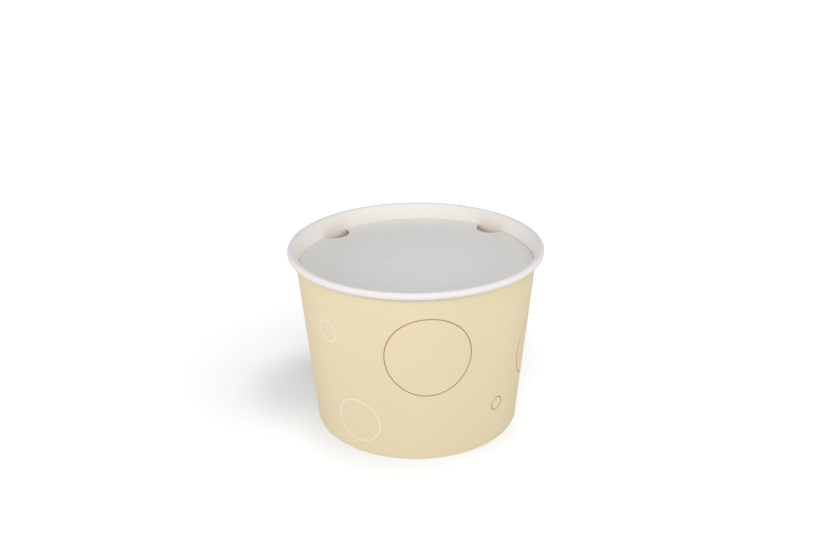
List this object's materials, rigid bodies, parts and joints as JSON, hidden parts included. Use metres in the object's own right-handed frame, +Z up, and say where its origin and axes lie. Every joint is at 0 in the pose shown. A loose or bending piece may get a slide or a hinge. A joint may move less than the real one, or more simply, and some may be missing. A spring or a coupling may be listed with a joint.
{
  "type": "food bucket",
  "caption": "Tapered round paperboard food bucket with a rolled rim, a folded base seam and a flat lid with finger notches set into its mouth.",
  "frame": {"origin": "centre of the base ring, on the table", "axes": "+Z up along the bucket's axis, -Y towards the front that the picture shows, side seam near +Y"},
  "size_m": [0.183, 0.183, 0.133],
  "materials": {
    "printed_board": "satin coated board, cream print outside and white inside",
    "white_board": "satin coated white board",
    "lid_board": "satin coated white board"
  },
  "bodies": {
    "root": {"side_wall": "printed_board", "bottom_disc": "white_board", "lid": "lid_board"}
  },
  "joints": []
}
